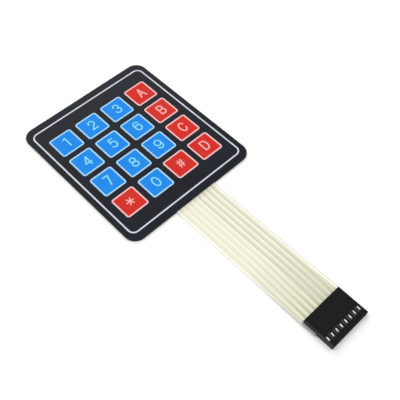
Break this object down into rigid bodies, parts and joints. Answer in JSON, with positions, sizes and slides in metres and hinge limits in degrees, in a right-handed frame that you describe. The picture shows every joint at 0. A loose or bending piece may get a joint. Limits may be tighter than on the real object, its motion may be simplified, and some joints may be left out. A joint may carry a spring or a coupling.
{
  "type": "membrane keypad",
  "caption": "Thin adhesive-backed matrix keypad with printed keys, a flat film tail and a black crimp socket connector for a pin header.",
  "frame": {"origin": "centre of the pad's back face, on the release liner", "axes": "+X along a row of keys, +Y up a column and away from the tail, +Z out of the keypad's face"},
  "size_m": [0.0686, 0.1608, 0.0025],
  "materials": {
    "overlay_film": "satin",
    "white_ink": "satin",
    "blue_ink": "satin",
    "red_ink": "satin",
    "black_adhesive": "satin",
    "adhesive": "satin",
    "circuit_film": "satin",
    "spacer_film": "satin",
    "silver_ink": "matte",
    "liner_paper": "satin",
    "housing_plastic": "satin",
    "tinned_metal": "satin"
  },
  "bodies": {
    "root": {"graphic_overlay": "overlay_film", "white_print": "white_ink", "blue_print": "blue_ink", "red_print": "red_ink", "overlay_adhesive": "black_adhesive", "upper_circuit_film": "circuit_film", "column_track_1": "silver_ink", "column_track_2": "silver_ink", "column_track_3": "silver_ink", "column_track_4": "silver_ink", "spacer": "spacer_film", "row_track_1": "silver_ink", "row_track_2": "silver_ink", "row_track_3": "silver_ink", "row_track_4": "silver_ink", "lower_circuit_film": "circuit_film", "tail_adhesive": "adhesive", "rear_adhesive": "black_adhesive", "release_liner": "liner_paper", "connector_housing": "housing_plastic", "terminal_1": "tinned_metal", "terminal_2": "tinned_metal", "terminal_3": "tinned_metal", "terminal_4": "tinned_metal", "terminal_5": "tinned_metal", "terminal_6": "tinned_metal", "terminal_7": "tinned_metal", "terminal_8": "tinned_metal"}
  },
  "joints": []
}
